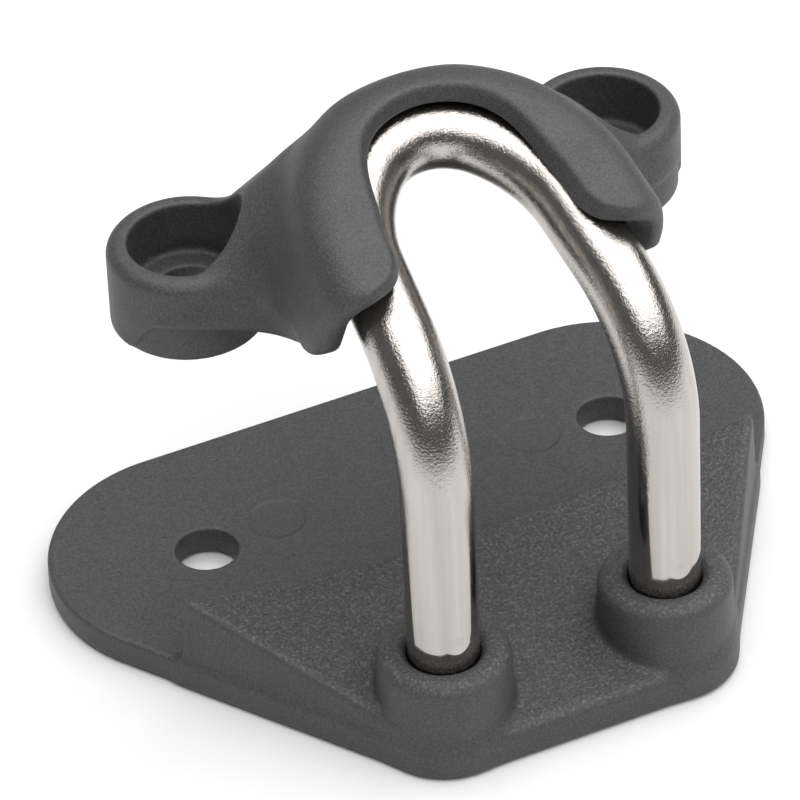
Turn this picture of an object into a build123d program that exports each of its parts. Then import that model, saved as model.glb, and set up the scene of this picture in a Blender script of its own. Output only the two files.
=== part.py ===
from build123d import *
import os
from math import acos, atan2, cos, pi, radians, sin, sqrt, tan

# Fairlead for a cam cleat: a moulded base plate with a ramp and two bosses, a bent
# rod hoop standing in the bosses, and a moulded cap that sits over the hoop's crown.
# +X runs along the line of screw holes, +Y away from the rope's entry, +Z up.
# The origin is midway between the two base holes, on the underside.

# Fasteners shared by base, cleat and cap
HOLE_SPACING = 38.0
BASE_HOLE_D = 5.2
EAR_HOLE_D = 5.5

# Base plate
PLATE_T = 2.6
PLATE_END_R = 13.5
BOSS_X = 10.15
BOSS_Y = -27.85
CORNER_R = 5.75
BOSS_R = 5.55
BOSS_TOP = 9.2
BOSS_EDGE_R = 1.2
WALL_Y = -12.0
WALL_DRAFT = 2.0
RAMP_SIDE_Z = 9.4
RAMP_MIDDLE_Z = 6.5
RAMP_FRONT_Z = 3.05
CREST_R = 0.5
FOOT_R = 0.8
UNDERSIDE_R = 0.3
EJECTOR_D = 5.0
EJECTOR_DEPTH = 0.08
EJECTOR_X = 12.1
EJECTOR_Y = 0.8

# Hoop
ROD_R = 3.0
LEG_FOOT_Z = 1.6
HOOP_PITCH = 19.0
CROWN_Y = -3.9
CROWN_Z = 41.55
CROWN_HALF = 9.1
CROWN_REACH = 12.0
CROWN_R = 7.1
BEND_R = 12.0

# Leg bores in the bosses
LEG_FIT = 0.05
RELIEF_R = 3.15
RELIEF_FLOOR_Z = 6.0

# Cap
CAP_SEAT_Z = 27.6
EAR_H = 7.8
EAR_R = 6.6
EAR_RIM_R = 1.1
COUNTERBORE_R = 4.8
COUNTERBORE_DEPTH = 4.9
CHANNEL_R = 3.3
RIM_U = 0.3
HOOD_TOP = 5.1
HOOD_OUT = 5.5
HOOD_CORNER_R = 3.2
SKIRT_DROP = 3.9
HORN_REACH = 5.0
SKIRT_T = 2.1
TUNNEL_HALF = 12.2
TUNNEL_SPRING_Z = 33.0
TUNNEL_CROWN_Z = 37.6

SHOULDER_EDGE_R = 1.5
# Shoulder sections from an ear to the middle: X, then the Y and the Z that it spans
SHOULDER_SECTIONS = (
    (-15.6, (-7.6, 4.6), (28.2, 37.2)),
    (-13.0, (-7.0, 4.0), (30.0, 39.0)),
    (-8.0, (-4.8, 2.6), (34.0, 42.6)),
    (0.0, (-2.6, 1.8), (36.0, 45.0)),
)

EAR_TOP_Z = CAP_SEAT_Z + EAR_H

# The inclined plane that holds the crown: u points back and up, n is its normal
U_DIR = Vector(0, cos(radians(HOOP_PITCH)), sin(radians(HOOP_PITCH)))
N_DIR = Vector(0, -sin(radians(HOOP_PITCH)), cos(radians(HOOP_PITCH)))
CROWN_TOP = Vector(0, CROWN_Y, CROWN_Z)
CROWN_CENTRE = CROWN_TOP - U_DIR * CROWN_REACH

# In that plane each side of the crown is an arc of SIDE_R, tangent to the arc of CROWN_R
APEX_V = CROWN_REACH - CROWN_R
SIDE_R = (CROWN_HALF**2 + APEX_V**2 - CROWN_R**2) / (2 * (CROWN_HALF - CROWN_R))
SIDE_X = CROWN_HALF - SIDE_R
JOIN_ANGLE = atan2(APEX_V, -SIDE_X)

# The straight run comes up from the knee, above the boss, and touches the side arc
KNEE_V = (BOSS_Y - CROWN_CENTRE.Y) / U_DIR.Y
KNEE_SPAN = sqrt((BOSS_X - SIDE_X) ** 2 + KNEE_V**2)
RUN_ANGLE = atan2(KNEE_V, BOSS_X - SIDE_X) + acos(SIDE_R / KNEE_SPAN)


def base_outline():
    """Hull of two large circles on the screw holes and two small ones on the bosses."""
    with BuildSketch() as outline:
        with Locations((-HOLE_SPACING / 2, 0), (HOLE_SPACING / 2, 0)):
            Circle(PLATE_END_R)
        with Locations((-BOSS_X, BOSS_Y), (BOSS_X, BOSS_Y)):
            Circle(CORNER_R)
        make_hull()
    return outline.sketch


def ramp_cutter():
    """Everything above the ramp: dished at the back, straight at the front ledge."""
    back_y = WALL_Y + 1.0
    front_y = BOSS_Y - CORNER_R - 1.0
    half_back = HOLE_SPACING / 2 + PLATE_END_R / 2 + 2.0
    half_front = BOSS_X + CORNER_R / 2
    top_z = 20.0

    def section(y, half, side_z, middle_z):
        left = Vector(-half, y, side_z)
        right = Vector(half, y, side_z)
        bottom = ThreePointArc(left, Vector(0, y, middle_z), right)
        sides = Polyline(right, Vector(half, y, top_z), Vector(-half, y, top_z), left)
        return Face(Wire([bottom] + list(sides.edges())))

    back = section(back_y, half_back, RAMP_SIDE_Z + 0.3, RAMP_MIDDLE_Z + 0.15)
    front = section(front_y, half_front, RAMP_FRONT_Z, RAMP_FRONT_Z - 0.1)
    return loft([back, front], ruled=True)


def edges_where(shape, test):
    """Edges of a shape whose bounding box passes a test."""
    return [edge for edge in shape.edges() if test(edge.bounding_box())]


def make_base_plate():
    outline = base_outline()
    plate = extrude(outline, PLATE_T)
    block = extrude(outline, RAMP_SIDE_Z + 1, taper=WALL_DRAFT)
    behind = Pos(0, WALL_Y + 50, 0) * Box(100, 100, 60)
    behind = behind.rotate(Axis((0, WALL_Y, 0), (1, 0, 0)), WALL_DRAFT)
    body = plate + (block - behind - ramp_cutter())
    for side in (-1, 1):
        body += Pos(side * BOSS_X, BOSS_Y, BOSS_TOP / 2) * Cylinder(BOSS_R, BOSS_TOP)

    boss_rims = edges_where(body, lambda box: box.min.Z > BOSS_TOP - 0.01)
    body = fillet(boss_rims, BOSS_EDGE_R)
    wall_width = HOLE_SPACING + PLATE_END_R
    ramp_crest = edges_where(body, lambda box: box.size.X > wall_width and box.min.Z > PLATE_T + 1)
    body = fillet(ramp_crest, CREST_R)
    wall_foot = edges_where(
        body,
        lambda box: box.size.X > wall_width and box.max.Y < WALL_Y + 1 and box.min.Z > PLATE_T - 0.01
        and box.max.Z < PLATE_T + 0.01,
    )
    body = fillet(wall_foot, FOOT_R)
    underside = edges_where(body, lambda box: box.max.Z < 0.01)
    body = fillet(underside, UNDERSIDE_R)

    for side in (-1, 1):
        boss = Pos(side * BOSS_X, BOSS_Y, 0)
        body -= boss * bore(ROD_R + LEG_FIT, LEG_FOOT_Z, BOSS_TOP)
        body -= boss * bore(RELIEF_R, RELIEF_FLOOR_Z, BOSS_TOP)
        body -= Pos(side * HOLE_SPACING / 2, 0, 0) * bore(BASE_HOLE_D / 2, 0, PLATE_T)
        dimple = bore(EJECTOR_D / 2, PLATE_T - EJECTOR_DEPTH, PLATE_T)
        body -= Pos(side * EJECTOR_X, EJECTOR_Y, 0) * dimple
    return body


def bore(radius, bottom, top):
    """A cutting cylinder from bottom to just past top, or past both faces from Z = 0."""
    start = bottom - 1 if bottom == 0 else bottom
    height = top + 1 - start
    return Pos(0, 0, start + height / 2) * Cylinder(radius, height)


def in_crown_plane(x, v):
    """A point of the inclined plane, from the crown's centre: x sideways, v along U_DIR."""
    return CROWN_CENTRE + Vector(x, 0, 0) + U_DIR * v


def side_point(angle, offset):
    """A point beside the right side arc, offset outward from the rod's centreline."""
    reach = SIDE_R + offset
    return (SIDE_X + reach * cos(angle), reach * sin(angle))


def crown_edges(offset, run):
    """Left run, side arc, crown, side arc and right run, offset outward from the rod."""
    spring = side_point(RUN_ANGLE, offset)
    start = (spring[0] + run * sin(RUN_ANGLE), spring[1] - run * cos(RUN_ANGLE))
    middle = side_point((RUN_ANGLE + JOIN_ANGLE) / 2, offset)
    join = side_point(JOIN_ANGLE, offset)
    top = in_crown_plane(0, CROWN_REACH + offset)
    sides = []
    for side in (-1, 1):
        places = [in_crown_plane(side * x, v) for x, v in (start, spring, middle, join)]
        sides.append((Line(places[0], places[1]), ThreePointArc(*places[1:])))
    (left_run, left_arc), (right_run, right_arc) = sides
    crown = ThreePointArc(left_arc @ 1, top, right_arc @ 1)
    return [left_run, left_arc, crown, right_arc, right_run]


def hoop_path():
    """Up one leg, back over the bend, round the crown and down the other leg."""
    run = sqrt(KNEE_SPAN**2 - SIDE_R**2)
    reach = BEND_R * tan(radians(90 - HOOP_PITCH) / 2)
    crown = crown_edges(0, run - reach)
    legs = []
    for side, edge in ((-1, crown[0]), (1, crown[-1])):
        foot = Vector(side * BOSS_X, BOSS_Y, LEG_FOOT_Z)
        knee = in_crown_plane(side * BOSS_X, KNEE_V)
        up = (knee - foot).normalized()
        back = (edge @ 1 - knee).normalized()
        turn = up.get_angle(back)
        bend_in = knee - up * reach
        inward = (back - up).normalized()
        middle = knee + inward * BEND_R * (1 / cos(radians(turn) / 2) - 1)
        legs.append([Line(foot, bend_in), ThreePointArc(bend_in, middle, edge @ 0)])
    return Wire(legs[0] + crown + legs[1])


def swept_rod(radius):
    foot = Plane(origin=(-BOSS_X, BOSS_Y, LEG_FOOT_Z), z_dir=(0, 0, 1))
    return sweep(foot * Circle(radius), path=hoop_path())


def hood_section():
    """Wall over the rod, drawn with u outward along local X and n up along local Y."""
    corner_u = HOOD_OUT - HOOD_CORNER_R
    corner_n = HOOD_TOP - HOOD_CORNER_R
    bulge = HOOD_CORNER_R * sin(pi / 4)
    outline = Wire([
        Line((RIM_U, 0), (RIM_U, HOOD_TOP)),
        Line((RIM_U, HOOD_TOP), (corner_u, HOOD_TOP)),
        ThreePointArc((corner_u, HOOD_TOP), (corner_u + bulge, corner_n + bulge), (HOOD_OUT, corner_n)),
        Line((HOOD_OUT, corner_n), (HOOD_OUT, -SKIRT_DROP)),
        Line((HOOD_OUT, -SKIRT_DROP), (HOOD_OUT - SKIRT_T, -SKIRT_DROP)),
        Line((HOOD_OUT - SKIRT_T, -SKIRT_DROP), (HOOD_OUT - SKIRT_T, 0)),
        Line((HOOD_OUT - SKIRT_T, 0), (RIM_U, 0)),
    ])
    return Face(outline)


def make_hood():
    """The section swept round the crown, with a straight horn at each end."""
    path = Wire(crown_edges(0, HORN_REACH))
    start = path @ 0
    along = path % 0
    outward = along.cross(N_DIR) * -1
    plane = Plane(origin=start, x_dir=outward, z_dir=along * -1)
    return sweep(plane * hood_section(), path=path)


def shoulder_section(x, y_range, z_range):
    y_size = y_range[1] - y_range[0]
    z_size = z_range[1] - z_range[0]
    centre = (x, sum(y_range) / 2, sum(z_range) / 2)
    plane = Plane(origin=centre, x_dir=(0, 1, 0), z_dir=(1, 0, 0))
    return plane * RectangleRounded(y_size, z_size, SHOULDER_EDGE_R)


def make_shoulders():
    """A saddle from one ear, over the back of the crown, to the other ear."""
    sections = []
    for x, y_range, z_range in SHOULDER_SECTIONS:
        sections.append(shoulder_section(x, y_range, z_range))
    mirrored = [mirror(section, Plane.YZ) for section in sections[:-1]]
    return loft(sections + mirrored[::-1])


def make_skirt():
    """Side wall from the tip of a horn back to the ear, with its lower edge swept up."""
    tip = CROWN_CENTRE - U_DIR * HORN_REACH - N_DIR * SKIRT_DROP
    outer_x = CROWN_HALF + HOOD_OUT
    low = Vector(outer_x, -EAR_R + 1.5, CAP_SEAT_Z + 0.3)
    tip = Vector(outer_x, tip.Y, tip.Z)
    top_z = EAR_TOP_Z + 2.5
    sag = Vector(outer_x, (low.Y + tip.Y) / 2, (low.Z + tip.Z) / 2 + 0.7)
    edge = ThreePointArc(tip, sag, low)
    rest = Polyline(low, (outer_x, low.Y, top_z), (outer_x, tip.Y + 2.0, top_z), tip)
    return extrude(Face(Wire([edge] + list(rest.edges()))), SKIRT_T, dir=(-1, 0, 0))


def make_tunnel():
    """The space under the cap, where the cleat's jaws stand and the rope runs."""
    half = TUNNEL_HALF
    floor_z = CAP_SEAT_Z - 1
    front_y = BOSS_Y
    left = (-half, front_y, TUNNEL_SPRING_Z)
    right = (half, front_y, TUNNEL_SPRING_Z)
    arch = ThreePointArc(left, (0, front_y, TUNNEL_CROWN_Z), right)
    legs = Polyline(right, (half, front_y, floor_z), (-half, front_y, floor_z), left)
    return extrude(Face(Wire([arch] + list(legs.edges()))), 50, dir=(0, 1, 0))


def make_lift_way():
    """All that stands under the rod, so that the cap can come straight up off it."""
    edges = crown_edges(CHANNEL_R, 20.0)
    closing = Line(edges[-1] @ 0, edges[0] @ 0)
    return extrude(Face(Wire(edges + [closing])), 14.0, dir=-N_DIR)


def make_ear():
    """A stub cylinder with a rounded rim, standing on Z = 0."""
    ear = Pos(0, 0, EAR_H / 2) * Cylinder(EAR_R, EAR_H)
    rim = edges_where(ear, lambda box: box.min.Z > EAR_H - 0.01)
    return fillet(rim, EAR_RIM_R)


def make_cap():
    body = make_hood() + make_shoulders()
    for side in (-1, 1):
        skirt = make_skirt()
        body += skirt if side > 0 else mirror(skirt, Plane.YZ)
    body -= make_tunnel()
    body -= make_lift_way()
    for side in (-1, 1):
        body += Pos(side * HOLE_SPACING / 2, 0, CAP_SEAT_Z) * make_ear()
    body -= swept_rod(CHANNEL_R)
    for side in (-1, 1):
        ear = Pos(side * HOLE_SPACING / 2, 0, 0)
        body -= ear * bore(EAR_HOLE_D / 2, CAP_SEAT_Z - 2, EAR_TOP_Z + 6)
        body -= ear * bore(COUNTERBORE_R, EAR_TOP_Z - COUNTERBORE_DEPTH, EAR_TOP_Z + 6)
    return body


if __name__ == "__main__":
    os.makedirs("parts", exist_ok=True)
    export_step(make_base_plate(), "parts/base_plate.step")
    export_step(swept_rod(ROD_R), "parts/hoop.step")
    export_step(make_cap(), "parts/cap.step")
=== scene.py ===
from math import acos, atan2, cos, pi, radians, sin, sqrt, tan

import bpy
import numpy as np
from mathutils import Matrix, Vector


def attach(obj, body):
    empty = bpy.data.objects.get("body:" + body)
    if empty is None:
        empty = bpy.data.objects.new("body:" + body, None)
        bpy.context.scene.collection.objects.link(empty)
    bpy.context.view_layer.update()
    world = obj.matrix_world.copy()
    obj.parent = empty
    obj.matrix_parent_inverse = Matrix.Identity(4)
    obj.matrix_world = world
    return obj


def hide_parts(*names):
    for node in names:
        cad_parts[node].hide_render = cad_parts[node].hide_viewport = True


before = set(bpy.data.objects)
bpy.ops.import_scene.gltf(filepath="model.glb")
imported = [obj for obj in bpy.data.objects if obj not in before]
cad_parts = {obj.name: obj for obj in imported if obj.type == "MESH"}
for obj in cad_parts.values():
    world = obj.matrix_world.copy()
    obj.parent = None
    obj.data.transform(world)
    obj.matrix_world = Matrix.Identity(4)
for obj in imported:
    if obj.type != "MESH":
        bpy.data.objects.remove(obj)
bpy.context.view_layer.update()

MM = 0.001

# ---------------------------------------------------------------------------
# Driving sizes, in millimetres. The object is symmetric about X = 0, its rope comes in from -Y,
# and the deck that it stands on is Z = 0.
# ---------------------------------------------------------------------------
# Base plate
HOLE_X = 19.0
BASE_HOLE_R = 2.6
PLATE_T = 2.6
PLATE_END_R = 13.5
PLATE_EDGE_R = 0.45
CORNER_R = 5.75
EJECTOR_X = 12.1
EJECTOR_Y = 0.8
EJECTOR_R = 2.6
EJECTOR_DEPTH = 0.08
EJECTOR_EDGE = 0.35

# Ramp in front of the plate
WALL_Y = -12.0
WALL_DRAFT = 0.035
RAMP_SIDE_Z = 9.4
RAMP_MIDDLE_Z = 6.5
RAMP_FRONT_Z = 3.05
RAMP_BACK_HALF = 27.0
RAMP_FRONT_HALF = 13.15
RAMP_DISH_POWER = 2.2

# Bosses at the ramp's front
BOSS_X = 10.15
BOSS_Y = -27.85
BOSS_R = 5.6
BOSS_TOP = 9.2
BOSS_EDGE_R = 1.3
BOSS_DRAFT = 0.02
BORE_R = 3.1
BORE_FLOOR_Z = 3.0
LEAD_IN_DEPTH = 0.55
LEAD_IN_SLOPE = 0.9

# Hoop
ROD_R = 3.0
ROD_CHAMFER = 0.5
LEG_FOOT_Z = 1.6
BEND_R = 12.0
HOOP_PITCH = radians(19.0)
CROWN_HALF = 9.1
CROWN_REACH = 12.0
CROWN_R = 7.1
CROWN_TOP = np.array((0.0, -3.9, 41.55))
STAKE_Z = 11.5
STAKE_R = 0.45
STAKE_DEPTH = 0.05
STAKE_LIP_R = 0.95
STAKE_LIP_WIDTH = 0.3
STAKE_LIP = 0.025

# Cap. The sizes that end in U, V or N are measured in crown_coordinates.
CAP_SEAT_Z = 27.6
EAR_TOP_Z = 35.4
EAR_R = 6.6
EAR_EDGE_R = 1.2
EAR_HOLE_R = 2.75
COUNTERBORE_R = 4.8
COUNTERBORE_Z = 30.5
HOOD_R = 14.6
HOOD_CENTRE_V = 2.3
HOOD_TOP_N = 5.2
HOOD_BOTTOM_N = -2.8
HOOD_BOTTOM_STEP = 1.1
SADDLE_R = sqrt(5.0)
SKIRT_X = 14.7
SKIRT_TOP_Z = 39.0
SKIRT_BACK_Y = -3.0
SKIRT_FRONT_V = -4.9
SKIRT_RAKE = 0.42
ARCH_X = 20.0
ARCH_TOP_Z = 31.2
ARCH_CURVE_INWARD = 0.075
ARCH_CURVE_OUTWARD = 0.03
EDGE_START_Y = -5.9
EDGE_START_Z = 27.9
EDGE_SLOPE = 0.56
EDGE_CURVE = 0.005
CHANNEL_R = 3.3
CHANNEL_DRAFT = 0.1
RIM_HORN_U = -0.75
RIM_CROWN_U = 0.85
RIM_TOP_N = 4.8
RIM_LEAN = 0.5
RIM_RECESS_V = -0.5
RIM_RECESS_CURVE = 0.13
HORN_END_V = -5.2
HORN_END_SLANT = 0.2
TUNNEL_HALF = 12.2
TUNNEL_SPRING_Z = 33.0
TUNNEL_CROWN_Z = 37.6

# The hoop's crown lies in a plane that leans back. Each half has a crown arc of CROWN_R, a side
# arc of SIDE_R and a straight run to the knee above its boss.
U_DIR = np.array((0.0, cos(HOOP_PITCH), sin(HOOP_PITCH)))
N_DIR = np.array((0.0, -sin(HOOP_PITCH), cos(HOOP_PITCH)))
CROWN_CENTRE = CROWN_TOP - U_DIR * CROWN_REACH
APEX_V = CROWN_REACH - CROWN_R
SIDE_R = (CROWN_HALF**2 + APEX_V**2 - CROWN_R**2) / (2 * (CROWN_HALF - CROWN_R))
SIDE_X = CROWN_HALF - SIDE_R
JOIN_ANGLE = atan2(APEX_V, -SIDE_X)
KNEE_V = (BOSS_Y - CROWN_CENTRE[1]) / U_DIR[1]
KNEE_SPAN = sqrt((BOSS_X - SIDE_X) ** 2 + KNEE_V**2)
RUN_ANGLE = atan2(KNEE_V, BOSS_X - SIDE_X) + acos(SIDE_R / KNEE_SPAN)


# ---------------------------------------------------------------------------
# Distance fields: each takes arrays in millimetres and is negative inside. A factor just under 1
# brings the slope of a slanted face back to about 1.
# ---------------------------------------------------------------------------
def blend_max(a, b, width):
    """Intersection with its edge rounded over about width."""
    gap = np.maximum(width - np.abs(a - b), 0.0) / width
    return np.maximum(a, b) + gap * gap * width * 0.25


def blend_min(a, b, width):
    """Union with a fillet of about width in its inner corner."""
    return -blend_max(-a, -b, width)


def rounded_corner(a, b, radius):
    """Intersection of two half spaces with a true round of this radius."""
    outside = np.hypot(np.maximum(a + radius, 0), np.maximum(b + radius, 0))
    return outside + np.minimum(np.maximum(a, b) + radius, 0) - radius


def fade(value, start, end):
    """0 where value is still at start, 1 from end on, and smooth between; end may be the lower."""
    t = np.clip((value - start) / (end - start), 0.0, 1.0)
    return t * t * (3 - 2 * t)


def outline_field(x, y, circles):
    """Convex hull of circles given in anticlockwise order: x, y, radius."""
    count = len(circles)
    normals = []
    for i in range(count):
        xa, ya, ra = circles[i]
        xb, yb, rb = circles[(i + 1) % count]
        along = atan2(yb - ya, xb - xa)
        lean = acos((ra - rb) / sqrt((xb - xa) ** 2 + (yb - ya) ** 2))
        normals.append(along - lean)
    field = np.full_like(x, -1e3)
    for i in range(count):
        cx, cy, radius = circles[i]
        before = normals[i - 1]
        after = normals[i]
        dx = x - cx
        dy = y - cy
        field = np.maximum(field, dx * cos(after) + dy * sin(after) - radius)
        past_before = cos(before) * dy - sin(before) * dx >= 0
        short_of_after = dx * sin(after) - dy * cos(after) >= 0
        rounded = np.maximum(field, np.hypot(dx, dy) - radius)
        field = np.where(past_before & short_of_after, rounded, field)
    return field


def capsule(x, y, z, start, end, start_r, end_r):
    """Distance to a rod between two points whose radius changes evenly."""
    axis = np.subtract(end, start)
    from_start = (x - start[0], y - start[1], z - start[2])
    along = sum(offset * part for offset, part in zip(from_start, axis)) / axis.dot(axis)
    along = np.clip(along, 0, 1)
    off = [offset - along * part for offset, part in zip(from_start, axis)]
    radius = start_r + (end_r - start_r) * along
    return np.sqrt(off[0] ** 2 + off[1] ** 2 + off[2] ** 2) - radius


def plate_field(side, x, y, z):
    """Flat plate with a rounded upper edge and two faint round ejector marks."""
    from_mark = np.hypot(np.abs(x) - EJECTOR_X, y - EJECTOR_Y)
    mark = EJECTOR_DEPTH * fade(from_mark, EJECTOR_R, EJECTOR_R - EJECTOR_EDGE)
    return rounded_corner(side, z - PLATE_T + mark, PLATE_EDGE_R)


def ramp_field(side, x, y, z):
    """A dished wedge, ruled from an arched back edge to the straight front ledge."""
    front_y = BOSS_Y - CORNER_R
    along = np.clip((WALL_Y - y) / (WALL_Y - front_y), 0, 1.1)
    half_width = RAMP_BACK_HALF + (RAMP_FRONT_HALF - RAMP_BACK_HALF) * along
    middle = RAMP_MIDDLE_Z + (RAMP_FRONT_Z - RAMP_MIDDLE_Z) * along
    dish = (RAMP_SIDE_Z - RAMP_MIDDLE_Z) * (1 - along)
    ramp_z = middle + dish * np.abs(x / half_width) ** RAMP_DISH_POWER
    steepness = 1.06
    wall = (y - WALL_Y) + WALL_DRAFT * (z - PLATE_T)
    drafted_side = side + WALL_DRAFT * z + 0.05
    wedge = blend_max((z - ramp_z) / steepness, wall, width=0.9)
    return blend_max(wedge, drafted_side, width=0.8)


def base_field(x, y, z):
    circles = (
        (HOLE_X, 0.0, PLATE_END_R), (-HOLE_X, 0.0, PLATE_END_R),
        (-BOSS_X, BOSS_Y, CORNER_R), (BOSS_X, BOSS_Y, CORNER_R),
    )
    side = outline_field(x, y, circles)
    field = blend_min(plate_field(side, x, y, z), ramp_field(side, x, y, z), width=0.9)

    radial = np.hypot(np.abs(x) - BOSS_X, y - BOSS_Y)
    boss_side = radial - BOSS_R - BOSS_DRAFT * (BOSS_TOP - z)
    boss = rounded_corner(boss_side, z - BOSS_TOP, BOSS_EDGE_R)
    field = blend_min(field, boss, width=0.9)
    field = blend_max(field, -z, width=0.5)

    lead_in = LEAD_IN_SLOPE * np.maximum(z - BOSS_TOP + LEAD_IN_DEPTH, 0)
    bore = blend_max(radial - BORE_R - lead_in, BORE_FLOOR_Z - z, width=0.6)
    field = blend_max(field, -bore, width=0.3)
    hole = np.hypot(np.abs(x) - HOLE_X, y) - BASE_HOLE_R
    return blend_max(field, -hole, width=0.35)


def crown_coordinates(x, y, z):
    """u outward from the rod's centreline, v back along the hoop's plane, n off the plane."""
    dy = y - CROWN_CENTRE[1]
    dz = z - CROWN_CENTRE[2]
    v = dy * U_DIR[1] + dz * U_DIR[2]
    n = dy * N_DIR[1] + dz * N_DIR[2]
    across = np.abs(x) - SIDE_X
    on_run = across * cos(RUN_ANGLE) + v * sin(RUN_ANGLE) - SIDE_R
    on_side = np.hypot(across, v) - SIDE_R
    on_crown = np.hypot(x, v - APEX_V) - CROWN_R
    before_side = v * cos(RUN_ANGLE) < across * sin(RUN_ANGLE)
    past_side = v * cos(JOIN_ANGLE) > across * sin(JOIN_ANGLE)
    u = np.where(before_side, on_run, np.where(past_side, on_crown, on_side))
    return u, v, n


def hood_field(x, v, n):
    """A wall over the rod, rounder in plan than the rod, from one horn's end to the other."""
    ax = np.abs(x)
    beyond = v - HOOD_CENTRE_V
    side = np.where(beyond > 0, np.hypot(x, beyond), ax) - HOOD_R
    roof = rounded_corner(side, n - HOOD_TOP_N, radius=3.0 + 1.3 * fade(v, -1.0, 9.0))
    bottom_n = HOOD_BOTTOM_N - HOOD_BOTTOM_STEP * fade(ax, 8.0, 12.0)
    return blend_max(roof, bottom_n - n, width=0.8)


def shoulder_field(x, y, z):
    """Round arms from the hood, where they meet in a saddle, down over the front of each ear."""
    saddle_x = np.sqrt(x * x + SADDLE_R**2)
    arm = capsule(saddle_x, y, z, (14.3, -0.4, 31.6), (4.5, -2.4, 40.0), start_r=4.6, end_r=3.9)
    web = capsule(np.abs(x), y, z, (16.0, -3.0, 32.2), (9.0, -3.6, 37.6), start_r=5.3, end_r=4.6)
    return blend_min(arm, web, width=2.0)


def skirt_field(x, y, z, v, n):
    """The outer wall below the hood, which runs back from each horn to the ear."""
    skirt = rounded_corner(np.abs(x) - SKIRT_X, z - SKIRT_TOP_Z, radius=3.0)
    front_v = SKIRT_FRONT_V - SKIRT_RAKE * np.minimum(n, 0.0)
    return blend_max(skirt, np.maximum(y - SKIRT_BACK_Y, front_v - v), width=1.6)


def lower_edge_z(x, y):
    """The cap's lower edge: it arches over each ear's front, then rises to the horn's tip."""
    ax = np.abs(x)
    forward = np.maximum(EDGE_START_Y - y, 0)
    rising = EDGE_START_Z + EDGE_SLOPE * forward - EDGE_CURVE * forward**2
    curve = np.where(ax > ARCH_X, ARCH_CURVE_OUTWARD, ARCH_CURVE_INWARD)
    edge = blend_max(rising, ARCH_TOP_Z - curve * (ax - ARCH_X) ** 2, width=2.0)
    return CAP_SEAT_Z + fade(y, -1.5, -4.5) * (edge - CAP_SEAT_Z)


def channel_field(u, v, n):
    """Positive in the rod's space: a rim leans in over it, and below it is open, with draft."""
    rim_u = RIM_HORN_U + (RIM_CROWN_U - RIM_HORN_U) * fade(v, 3.0, 11.5)
    rim_u = rim_u + RIM_RECESS_CURVE * np.maximum(RIM_RECESS_V - v, 0.0) ** 2
    rim = (rim_u + RIM_LEAN * (n - RIM_TOP_N) - u) * 0.87
    open_below = CHANNEL_R + CHANNEL_DRAFT * np.maximum(-n, 0) - u
    over_rod = np.where(n > 0, CHANNEL_R - np.hypot(u, n), open_below)
    return np.where(n > -1.0, blend_max(rim, over_rod, width=1.0), open_below)


def cap_field(x, y, z):
    ax = np.abs(x)
    u, v, n = crown_coordinates(x, y, z)
    body = blend_min(hood_field(x, v, n), shoulder_field(x, y, z), width=3.0)
    body = blend_min(body, skirt_field(x, y, z, v, n), width=3.5)

    # Ears, whose fillet is widest low in front and tight where the rim stands free
    ear_radial = np.hypot(ax - HOLE_X, y)
    ear = rounded_corner(ear_radial - EAR_R, z - EAR_TOP_Z, EAR_EDGE_R)
    fillet = 0.6 + 1.2 * fade(y, -2.0, 0.5) + 3.0 * fade(z, 34.2, 31.2) * fade(y, 0.0, -4.0)
    body = blend_min(body, ear, fillet)

    # Cut to the lower edge, with the round foot of each ear put back, down to the seat
    body = blend_max(body, (lower_edge_z(x, y) - z) * 0.85, width=0.5)
    foot = np.maximum(ear_radial - EAR_R + 0.25, z - EAR_TOP_Z + 2)
    body = blend_min(body, foot, width=0.15)
    body = blend_max(body, CAP_SEAT_Z - z, width=0.5)

    # The horns' ends, and the channel for the rod between them
    horn_end = (HORN_END_V + HORN_END_SLANT * np.clip(u, -1, 6) - v) * 0.97
    body = blend_max(body, horn_end, width=1.8)
    channel = rounded_corner(channel_field(u, v, n), horn_end, radius=2.6)
    body = blend_max(body, channel, width=0.45)

    # The arched tunnel over the cleat's jaws
    arch_rise = TUNNEL_CROWN_Z - TUNNEL_SPRING_Z
    arch_z = TUNNEL_CROWN_Z - arch_rise * (x / TUNNEL_HALF) ** 2
    tunnel = blend_max(ax - TUNNEL_HALF, (z - arch_z) * 0.8, width=1.5)
    body = blend_max(body, -tunnel, width=0.5)

    recess = blend_max(ear_radial - COUNTERBORE_R, COUNTERBORE_Z - z, width=0.6)
    body = blend_max(body, -recess, width=0.4)
    return blend_max(body, EAR_HOLE_R - ear_radial, width=0.3)


# ---------------------------------------------------------------------------
# Meshing
# ---------------------------------------------------------------------------
CORNERS_AROUND_EDGE = ((0, 0), (1, 0), (1, 1), (0, 1))


def gradient(field, points):
    nudge = 0.02
    slopes = []
    for axis in range(3):
        ahead = points.copy()
        behind = points.copy()
        ahead[:, axis] += nudge
        behind[:, axis] -= nudge
        slopes.append((field(*ahead.T) - field(*behind.T)) / (2 * nudge))
    return np.stack(slopes, axis=1)


def cells_beside(edges, axis, back):
    """The cells that share these grid edges, back by 0 or 1 along each of the other two axes."""
    cells = edges.copy()
    cells[:, (axis + 1) % 3] -= back[0]
    cells[:, (axis + 2) % 3] -= back[1]
    return cells


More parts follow.
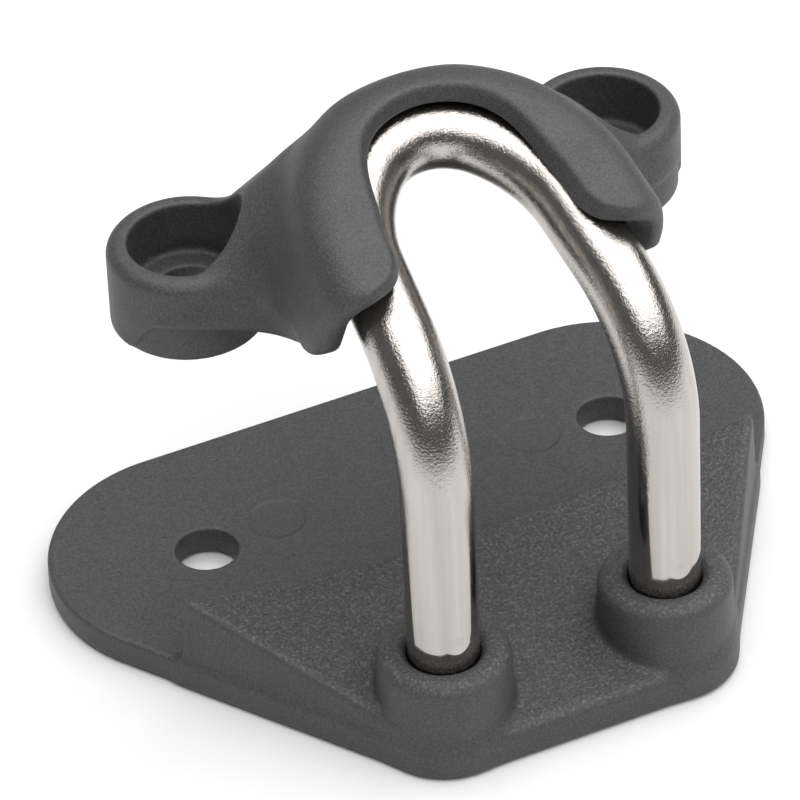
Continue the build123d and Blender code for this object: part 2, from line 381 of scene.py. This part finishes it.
def surface_net(field, low, high, step):
    """Points and quads over the zero level of a field, found on a grid."""
    axes = [np.arange(a, b + step, step) for a, b in zip(low, high)]
    values = field(*np.meshgrid(*axes, indexing="ij"))
    inside = values < 0
    shape = tuple(n - 1 for n in values.shape)
    total = np.zeros(shape + (3,))
    count = np.zeros(shape)
    crossings = []
    for axis in range(3):
        first = [slice(None)] * 3
        second = [slice(None)] * 3
        first[axis] = slice(None, -1)
        second[axis] = slice(1, None)
        a = values[tuple(first)]
        b = values[tuple(second)]
        crossed = inside[tuple(first)] != inside[tuple(second)]
        edges = np.argwhere(crossed)
        crossings.append((axis, edges, inside[tuple(first)][crossed]))
        spots = edges.astype(float)
        spots[:, axis] += a[crossed] / (a[crossed] - b[crossed])
        for back in CORNERS_AROUND_EDGE:
            cells = cells_beside(edges, axis, back)
            valid = np.all((cells >= 0) & (cells < np.array(shape)), axis=1)
            index = tuple(cells[valid].T)
            np.add.at(total, index, spots[valid])
            np.add.at(count, index, 1)
    used = count > 0
    number = np.full(shape, -1)
    number[used] = np.arange(int(used.sum()))
    points = total[used] / count[used][:, None] * step + np.array(low)
    quads = []
    for axis, edges, start_inside in crossings:
        corners = [number[tuple(cells_beside(edges, axis, back).T)] for back in CORNERS_AROUND_EDGE]
        quad = np.stack(corners, axis=1)
        quads.append(np.where(start_inside[:, None], quad, quad[:, ::-1]))
    return points, np.concatenate(quads)


def largest_part(points, quads):
    """Leaves out specks: only the part with the most points stays."""
    label = np.arange(len(points))
    while True:
        joined = label.copy()
        lowest = label[quads].min(axis=1)
        for corner in range(4):
            np.minimum.at(joined, quads[:, corner], lowest)
        joined = joined[joined]
        if (joined == label).all():
            break
        label = joined
    kept = label == np.bincount(label).argmax()
    number = np.cumsum(kept) - 1
    return points[kept], number[quads[kept[quads[:, 0]]]]


def settle(field, points, step):
    """Moves points straight onto the zero level, by at most 0.4 of a grid step at a time."""
    least_square = 0.2
    for _ in range(3):
        slope = gradient(field, points)
        square = np.maximum((slope**2).sum(axis=1), least_square)
        move = -(field(*points.T) / square)[:, None] * slope
        length = np.linalg.norm(move, axis=1)
        limit = np.minimum(1.0, 0.4 * step / np.maximum(length, 1e-9))
        points = points + move * limit[:, None]
    return points


def mesh_object(name, points, faces, normals=None):
    mesh = bpy.data.meshes.new(name)
    mesh.from_pydata((points * MM).tolist(), [], faces)
    mesh.validate()
    for polygon in mesh.polygons:
        polygon.use_smooth = True
    if normals is not None and len(mesh.vertices) == len(normals):
        mesh.normals_split_custom_set_from_vertices(normals.tolist())
    obj = bpy.data.objects.new(name, mesh)
    bpy.context.scene.collection.objects.link(obj)
    return obj


def store_on_points(obj, name, values):
    """Stores one number on each point, which a material reads by its name."""
    layer = obj.data.attributes.new(name, "FLOAT", "POINT")
    layer.data.foreach_set("value", values)


def ramp_coarse_skin_and_glints(points, normals):
    """1 on the upward faces of the ramp and the bosses, whose skin is rougher and gets pale specks
    painted in as glints, and 0 elsewhere.
    """
    return fade(points[:, 1], WALL_Y, WALL_Y - 0.8) * fade(normals[:, 2], 0.4, 0.8)


def no_coarse_skin_or_glints(points, normals):
    return np.zeros(len(points))


def solid_from_field(name, field, low, high, step, coarse_skin_and_glints_mask):
    points, quads = largest_part(*surface_net(field, low, high, step))
    points = settle(field, points, step)
    slope = gradient(field, points)
    normals = slope / np.maximum(np.linalg.norm(slope, axis=1), 1e-6)[:, None]
    obj = mesh_object(name, points, quads.tolist(), normals)
    store_on_points(obj, "coarse_skin_and_glints", coarse_skin_and_glints_mask(points, normals))
    return obj


# ---------------------------------------------------------------------------
# Hoop
# ---------------------------------------------------------------------------
SIDES_OF_ROD = 128


def arc_points(start, centre, axis, angle, count):
    """Points round a centre from start, through angle about axis, without the first one."""
    arm = Vector(start) - Vector(centre)
    points = []
    for i in range(1, count + 1):
        turned = Matrix.Rotation(angle * i / count, 3, Vector(axis)) @ arm
        points.append(np.array(Vector(centre) + turned))
    return points


def in_crown_plane(x, v):
    return CROWN_CENTRE + np.array((x, 0, 0)) + U_DIR * v


def hoop_line():
    """Half of the rod's centreline, from the foot of the right leg to the crown's top."""
    foot = np.array((BOSS_X, BOSS_Y, LEG_FOOT_Z))
    knee = in_crown_plane(BOSS_X, KNEE_V)
    side_centre = in_crown_plane(SIDE_X, 0)
    spring = in_crown_plane(SIDE_X + SIDE_R * cos(RUN_ANGLE), SIDE_R * sin(RUN_ANGLE))
    up = (knee - foot) / np.linalg.norm(knee - foot)
    back = (spring - knee) / np.linalg.norm(spring - knee)
    turn = acos(float(up @ back))
    bend_in = knee - up * BEND_R * tan(turn / 2)
    axis = np.cross(up, back)
    axis = axis / np.linalg.norm(axis)
    centre = bend_in + np.cross(axis, up) * BEND_R
    line = [foot + (bend_in - foot) * t for t in np.linspace(0, 1, 170)]
    line += arc_points(bend_in, centre, axis, turn, count=48)
    bend_out = line[-1]
    line += [bend_out + (spring - bend_out) * t for t in np.linspace(0, 1, 20)[1:]]
    line += arc_points(spring, side_centre, N_DIR, JOIN_ANGLE - RUN_ANGLE, count=32)
    line += arc_points(line[-1], in_crown_plane(0, APEX_V), N_DIR, pi / 2 - JOIN_ANGLE, count=28)
    return np.array(line)


def stake_dents(points):
    """Small pressed marks on the front of both legs, just above the bosses."""
    spot = np.array((BOSS_X, BOSS_Y - ROD_R, STAKE_Z))
    away = np.linalg.norm(np.abs(points) * (1, -1, 1) - spot, axis=1)
    dent = STAKE_DEPTH * np.exp(-((away / STAKE_R) ** 2))
    lip = STAKE_LIP * np.exp(-(((away - STAKE_LIP_R) / STAKE_LIP_WIDTH) ** 2))
    on_front = points[:, 1:2] < BOSS_Y
    return (dent - lip)[:, None] * np.array((0.0, 1.0, 0.0)) * on_front


def make_rod():
    """The whole rod as one tube, with its ends chamfered and a light mark on each leg."""
    half = hoop_line()
    mirrored = half[::-1][1:] * np.array((-1, 1, 1))
    line = np.concatenate([half, mirrored])
    tangents = np.gradient(line, axis=0)
    tangents /= np.linalg.norm(tangents, axis=1)[:, None]
    radii = np.full(len(line), ROD_R)
    radii[0] = radii[-1] = ROD_R - ROD_CHAMFER
    angles = np.linspace(0, 2 * pi, SIDES_OF_ROD, endpoint=False)
    side = np.array((0.0, -1.0, 0.0))
    rings = []
    for centre, tangent, radius in zip(line, tangents, radii):
        side = side - tangent * (side @ tangent)
        side /= np.linalg.norm(side)
        other = np.cross(tangent, side)
        across = np.outer(np.cos(angles), side) + np.outer(np.sin(angles), other)
        rings.append(centre + radius * across)
    points = np.concatenate(rings)
    points = points + stake_dents(points)

    faces = []
    for start in range(0, len(points) - SIDES_OF_ROD, SIDES_OF_ROD):
        for i in range(SIDES_OF_ROD):
            a = start + i
            b = start + (i + 1) % SIDES_OF_ROD
            faces.append((a, b, b + SIDES_OF_ROD, a + SIDES_OF_ROD))
    faces.append(tuple(range(SIDES_OF_ROD))[::-1])
    faces.append(tuple(range(len(points) - SIDES_OF_ROD, len(points))))
    rod = mesh_object("rod_hoop", points, faces)
    store_on_points(rod, "bent", fade(points[:, 2], 15.0, 28.0))
    return rod


# ---------------------------------------------------------------------------
# Materials
# ---------------------------------------------------------------------------
def node_material(name):
    material = bpy.data.materials.new(name)
    material.use_nodes = True
    tree = material.node_tree
    shader = tree.nodes["Principled BSDF"]
    return material, tree, shader


def noise(tree, scale, detail, roughness, stretch=1.0):
    """Noise fixed to the piece, drawn out along Z where stretch is less than 1."""
    coordinates = tree.nodes.new("ShaderNodeTexCoord")
    mapping = tree.nodes.new("ShaderNodeMapping")
    mapping.inputs["Scale"].default_value = (1.0, 1.0, stretch)
    tree.links.new(coordinates.outputs["Object"], mapping.inputs["Vector"])
    node = tree.nodes.new("ShaderNodeTexNoise")
    node.inputs["Scale"].default_value = scale
    node.inputs["Detail"].default_value = detail
    node.inputs["Roughness"].default_value = roughness
    tree.links.new(mapping.outputs["Vector"], node.inputs["Vector"])
    return node.outputs["Fac"]


def point_value(tree, name):
    """The number that store_on_points put on the piece under this name."""
    node = tree.nodes.new("ShaderNodeAttribute")
    node.attribute_name = name
    return node.outputs["Fac"]


def ramp(tree, value, stops):
    """Colours along a value, from stops given as place and colour."""
    node = tree.nodes.new("ShaderNodeValToRGB")
    elements = node.color_ramp.elements
    while len(elements) < len(stops):
        elements.new(0.5)
    for element, (place_on_ramp, colour) in zip(elements, stops):
        element.position = place_on_ramp
        element.color = (*colour, 1.0)
    tree.links.new(value, node.inputs["Fac"])
    return node.outputs["Color"]


def mixed(tree, factor, first, second):
    """first where factor is 0, and second, a socket or a plain colour, where it is 1."""
    node = tree.nodes.new("ShaderNodeMix")
    node.data_type = "RGBA"
    tree.links.new(factor, node.inputs["Factor"])
    tree.links.new(first, node.inputs["A"])
    if isinstance(second, tuple):
        node.inputs["B"].default_value = (*second, 1.0)
    else:
        tree.links.new(second, node.inputs["B"])
    return node.outputs["Result"]


def bump(tree, height, distance):
    """A bump node of this height, in metres, whose strength and base normal can still be set."""
    node = tree.nodes.new("ShaderNodeBump")
    node.inputs["Distance"].default_value = distance
    tree.links.new(height, node.inputs["Height"])
    return node


def grey(value):
    """A grey with a trace of blue, also used for plain levels."""
    return (value, value, value * 1.01)


PALE_EDGE_GREY = grey(0.09)


def moulded_nylon():
    """Dark grey spark-eroded moulding: fine grain, a coarser pebbled skin with painted glints on
    the upward faces of the ramp, slightly paler on sharp convex edges.
    """
    material, tree, shader = node_material("moulded_nylon")
    shader.inputs["Specular IOR Level"].default_value = 0.6
    coarse_skin_and_glints = point_value(tree, "coarse_skin_and_glints")

    grain = noise(tree, scale=5600.0, detail=3.0, roughness=0.65)
    fine = ramp(tree, grain, ((0.36, grey(0.027)), (0.64, grey(0.07))))
    pebble = noise(tree, scale=3700.0, detail=3.0, roughness=0.7)
    # Painted glints: the palest specks of this ramp stand in for light catching the pebbled skin,
    # and the ramp is mixed in only on upward faces.
    pebble_tone_and_painted_glints = ramp(tree, pebble, ((0.36, grey(0.032)), (0.56, grey(0.07)), (0.7, grey(0.17))))
    skin = mixed(tree, coarse_skin_and_glints, fine, pebble_tone_and_painted_glints)
    geometry = tree.nodes.new("ShaderNodeNewGeometry")
    # Paler on sharp convex edges, found by pointiness.
    pale_edges = ramp(tree, geometry.outputs["Pointiness"], ((0.5, grey(0.0)), (0.6, grey(0.35))))
    tree.links.new(mixed(tree, pale_edges, skin, PALE_EDGE_GREY), shader.inputs["Base Color"])

    mottle = noise(tree, scale=260.0, detail=4.0, roughness=0.55)
    rough = ramp(tree, mottle, ((0.3, grey(0.46)), (0.7, grey(0.56))))
    tree.links.new(rough, shader.inputs["Roughness"])

    grained = bump(tree, grain, distance=0.00008)
    grained.inputs["Strength"].default_value = 0.8
    pitted = bump(tree, pebble, distance=0.0001)
    tree.links.new(coarse_skin_and_glints, pitted.inputs["Strength"])
    tree.links.new(grained.outputs["Normal"], pitted.inputs["Normal"])
    tree.links.new(pitted.outputs["Normal"], shader.inputs["Normal"])
    return material


def polished_steel():
    """Bright rod: faint draw marks on the straights, an orange-peel skin where it was bent."""
    material, tree, shader = node_material("polished_steel")
    shader.inputs["Metallic"].default_value = 1.0
    drawn = noise(tree, scale=900.0, detail=3.0, roughness=0.6, stretch=0.03)
    tint = ramp(tree, drawn, ((0.3, (0.455, 0.422, 0.392)), (0.7, (0.53, 0.512, 0.495))))
    tree.links.new(tint, shader.inputs["Base Color"])

    streak = noise(tree, scale=180.0, detail=3.0, roughness=0.5)
    rough = ramp(tree, streak, ((0.3, grey(0.05)), (0.7, grey(0.11))))
    tree.links.new(rough, shader.inputs["Roughness"])

    strength = tree.nodes.new("ShaderNodeMapRange")
    strength.inputs["To Min"].default_value = 0.04
    strength.inputs["To Max"].default_value = 0.6
    tree.links.new(point_value(tree, "bent"), strength.inputs["Value"])
    peel = bump(tree, noise(tree, scale=4400.0, detail=2.5, roughness=0.7), distance=0.00007)
    tree.links.new(strength.outputs["Result"], peel.inputs["Strength"])
    tree.links.new(peel.outputs["Normal"], shader.inputs["Normal"])
    return material


def plain_floor():
    material, _, shader = node_material("pale_floor")
    shader.inputs["Base Color"].default_value = (0.86, 0.86, 0.86, 1)
    shader.inputs["Roughness"].default_value = 0.9
    return material


# ---------------------------------------------------------------------------
# Pieces
# ---------------------------------------------------------------------------
BASE_GRID = 0.27
CAP_GRID = 0.22
nylon = moulded_nylon()
steel = polished_steel()


def place(piece, node, body, material):
    piece.data.materials.append(material)
    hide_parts(node)
    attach(piece, body)


base = solid_from_field(
    "base_moulding", base_field, (-34, -35, -0.7), (34, 15, 10.6), BASE_GRID, ramp_coarse_skin_and_glints)
place(base, "base_plate", "base", nylon)
cap = solid_from_field(
    "cap_moulding", cap_field, (-27, -25, 26.8), (27, 8.5, 48), CAP_GRID, no_coarse_skin_or_glints)
place(cap, "cap", "cap", nylon)
rod = make_rod()
place(rod, "hoop", "base", steel)

# ---------------------------------------------------------------------------
# Floor, light and camera, in metres
# ---------------------------------------------------------------------------
FLOOR_Z = -0.0002

bpy.ops.mesh.primitive_plane_add(size=4.0, location=(0, 0, FLOOR_Z))
floor = bpy.context.object
floor.name = "floor"
floor.data.materials.append(plain_floor())


def soft_box(name, place_at, size, power):
    """A large square light that faces straight down."""
    light = bpy.data.lights.new(name, "AREA")
    light.shape = "SQUARE"
    light.size = size
    light.energy = power
    lamp = bpy.data.objects.new(name, light)
    lamp.location = place_at
    bpy.context.scene.collection.objects.link(lamp)


soft_box("over", place_at=(0.28, -0.15, 0.72), size=1.5, power=16.5)

world = bpy.data.worlds.new("studio")
world.use_nodes = True
background = world.node_tree.nodes["Background"]
background.inputs["Color"].default_value = (1, 1, 1, 1)
background.inputs["Strength"].default_value = 0.16
bpy.context.scene.world = world
bpy.context.scene.view_settings.view_transform = "Standard"


def add_camera():
    """A long lens, turned to the object's left and above it, aimed a little off the origin."""
    turn = radians(24.14)
    rise = radians(38.42)
    roll = radians(-2.59)
    distance = 0.582
    sensor = 36.0
    focal_per_sensor = 8.504
    # How far the origin lies to the right of the picture's centre, and above it
    origin_right = 0.01311 / focal_per_sensor * distance
    origin_up = -0.13093 / focal_per_sensor * distance
    back = Vector((-sin(turn) * cos(rise), -cos(turn) * cos(rise), sin(rise)))
    right = Vector((cos(turn), -sin(turn), 0))
    up = back.cross(right)
    image_x = right * cos(roll) + up * sin(roll)
    image_y = -right * sin(roll) + up * cos(roll)
    data = bpy.data.cameras.new("camera")
    data.sensor_width = sensor
    data.lens = sensor * focal_per_sensor
    data.clip_end = 10.0
    camera = bpy.data.objects.new("camera", data)
    spot = back * distance - image_x * origin_right - image_y * origin_up
    axes = Matrix((image_x, image_y, back)).transposed().to_4x4()
    camera.matrix_world = Matrix.Translation(spot) @ axes
    bpy.context.scene.collection.objects.link(camera)
    bpy.context.scene.camera = camera


add_camera()
